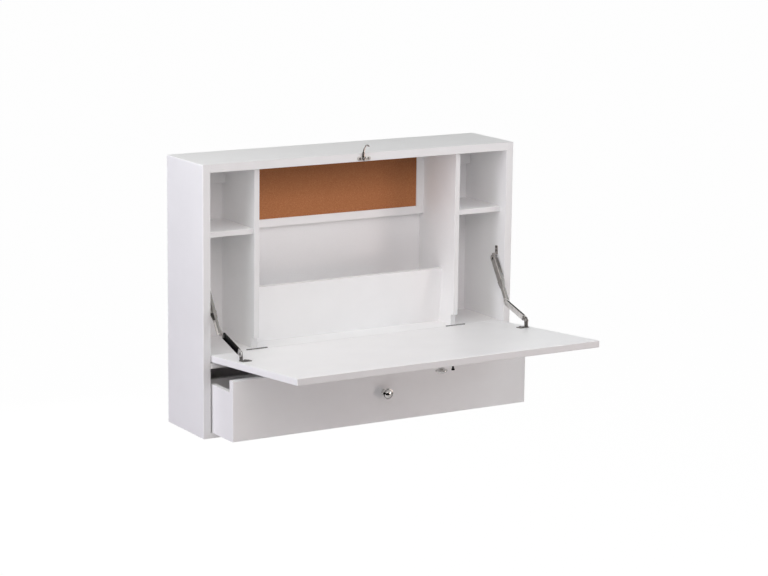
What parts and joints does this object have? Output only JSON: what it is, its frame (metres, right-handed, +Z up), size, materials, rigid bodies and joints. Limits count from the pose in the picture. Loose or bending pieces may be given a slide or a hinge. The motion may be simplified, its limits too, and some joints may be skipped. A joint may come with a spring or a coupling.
{
  "type": "fold down wall desk",
  "caption": "Wall-hung desk: shallow white case with a drop flap on folding stays, cubbies, cork board, document pocket, hook latch and a drawer.",
  "frame": {"origin": "on the wall plane, midway between the two wall-screw holes", "axes": "+X to the right along the wall, +Y into the wall, +Z up; the desk opens towards -Y"},
  "size_m": [0.78, 0.5419, 0.6084],
  "materials": {
    "paint": "satin white paint on board",
    "paint_panel": "white painted hardboard",
    "hardboard": "white faced hardboard",
    "cork": "natural cork",
    "beech": "plain beech",
    "polished_nickel": "polished nickel",
    "nickel": "nickel plated steel",
    "steel": "zinc plated steel"
  },
  "bodies": {
    "case": {"side_board_left": "paint", "side_board_right": "paint", "top_board": "paint", "bottom_board": "paint", "floor_board": "paint", "front_rail": "paint", "back_panel": "hardboard", "divider_left": "paint", "divider_right": "paint", "cubby_shelf_left": "paint", "cubby_shelf_right": "paint", "hanging_rail_left": "paint", "hanging_rail_right": "paint", "cork_sheet": "cork", "cork_backing": "hardboard", "pinboard_top_strip": "paint", "pinboard_ledge": "paint", "pinboard_stile_left": "paint", "pinboard_stile_right": "paint", "pocket_front": "paint", "hinge_floor_leaf_left": "polished_nickel", "hinge_floor_leaf_right": "polished_nickel", "hinge_pins": "polished_nickel", "hinge_floor_screws": "steel", "stay_bracket_left": "nickel", "stay_bracket_right": "nickel", "stay_bracket_rivets": "nickel", "stay_bracket_screws": "steel", "latch_plate": "polished_nickel", "latch_rivet": "polished_nickel", "latch_screws": "steel", "case_dowels": "beech", "back_panel_pins": "steel"},
    "flap": {"flap_board": "paint", "flap_knob": "polished_nickel", "latch_keeper_plate": "polished_nickel", "latch_stud": "polished_nickel", "hinge_flap_leaf_left": "polished_nickel", "hinge_flap_leaf_right": "polished_nickel", "hinge_flap_screws": "steel", "stay_foot_left": "nickel", "stay_foot_right": "nickel", "stay_foot_rivets": "nickel", "stay_foot_screws": "steel"},
    "drawer": {"drawer_front": "paint", "drawer_side_left": "paint", "drawer_side_right": "paint", "drawer_back": "paint", "drawer_bottom": "paint_panel", "drawer_knob": "polished_nickel", "drawer_knob_bolt": "steel"},
    "latch_hook": {"latch_hook": "polished_nickel"},
    "upper_link_left": {"stay_upper_link_left": "nickel"},
    "lower_link_left": {"stay_lower_link_left": "nickel", "stay_elbow_rivet_left": "nickel"},
    "upper_link_right": {"stay_upper_link_right": "nickel"},
    "lower_link_right": {"stay_lower_link_right": "nickel", "stay_elbow_rivet_right": "nickel"}
  },
  "joints": [
    {"name": "flap_fold", "type": "hinge", "parent": "case", "child": "flap", "pos_m": [0, -0.153, -0.367], "axis": [-1, 0, 0], "range_deg": [-4.4, 85.6]},
    {"name": "drawer_slide", "type": "slide", "parent": "case", "child": "drawer", "axis": [0, -1, 0], "range_m": [-0.096, 0.025]},
    {"name": "latch_hook_swing", "type": "hinge", "parent": "case", "child": "latch_hook", "pos_m": [0, -0.1705, 0.0315], "axis": [0, 1, 0], "range_deg": [0, 150.68]},
    {"name": "upper_link_left_turn", "type": "hinge", "parent": "case", "child": "upper_link_left", "pos_m": [-0.3617, -0.13533, -0.22561], "axis": [1, 0, 0], "range_deg": [-1.62, 27.75]},
    {"name": "lower_link_left_turn", "type": "hinge", "parent": "flap", "child": "lower_link_left", "pos_m": [-0.36, -0.27936, -0.34073], "axis": [-1, 0, 0], "range_deg": [-1.55, 26.53]},
    {"name": "upper_link_right_turn", "type": "hinge", "parent": "case", "child": "upper_link_right", "pos_m": [0.3617, -0.13533, -0.22561], "axis": [1, 0, 0], "range_deg": [-1.62, 27.75]},
    {"name": "lower_link_right_turn", "type": "hinge", "parent": "flap", "child": "lower_link_right", "pos_m": [0.36, -0.27936, -0.34073], "axis": [-1, 0, 0], "range_deg": [-1.55, 26.53]}
  ],
  "couplings": [
    {"joint": "upper_link_left_turn", "follows": "flap_fold", "ratio": 0.32185},
    {"joint": "lower_link_left_turn", "follows": "flap_fold", "ratio": 0.30755},
    {"joint": "upper_link_right_turn", "follows": "flap_fold", "ratio": 0.32185},
    {"joint": "lower_link_right_turn", "follows": "flap_fold", "ratio": 0.30755}
  ]
}
